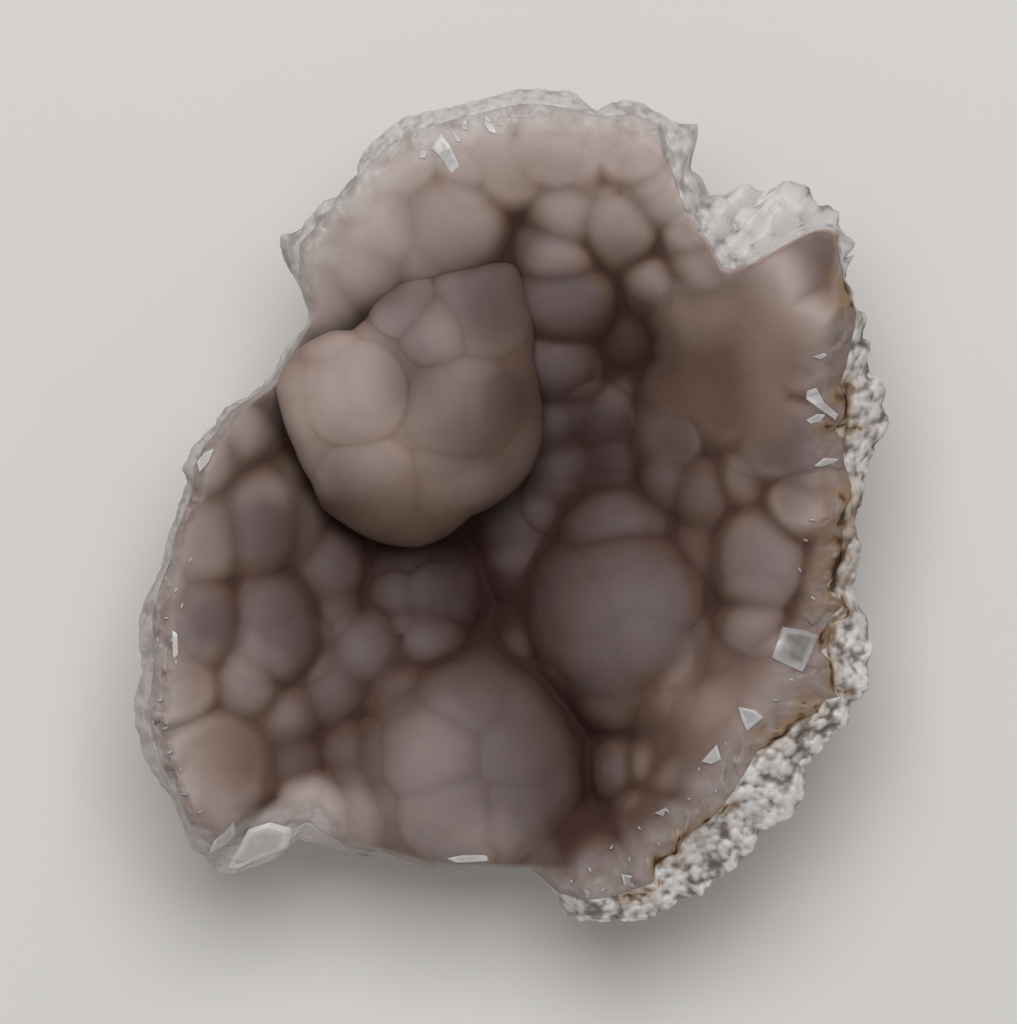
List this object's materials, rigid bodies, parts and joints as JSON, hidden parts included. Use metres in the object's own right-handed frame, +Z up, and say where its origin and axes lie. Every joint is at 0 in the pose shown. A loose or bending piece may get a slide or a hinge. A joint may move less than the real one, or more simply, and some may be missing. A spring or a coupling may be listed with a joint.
{
  "type": "chalcedony geode half",
  "caption": "Broken half of a chalcedony geode on its back: rounded grey-brown lumps line the open hollow, one heavy lobe overhangs it, and a pale broken rim meets a white granular rind.",
  "frame": {"origin": "middle of the stone's box, at the level of its flat foot", "axes": "+Z up, out of the open hollow; +Y from the low lip towards the high end of the rim; +X towards the smooth tall wall, whose rind shows on the break"},
  "size_m": [0.1006, 0.1107, 0.0489],
  "materials": {
    "chalcedony": "waxy, translucent"
  },
  "bodies": {
    "root": {"chalcedony_geode": "chalcedony"}
  },
  "joints": []
}
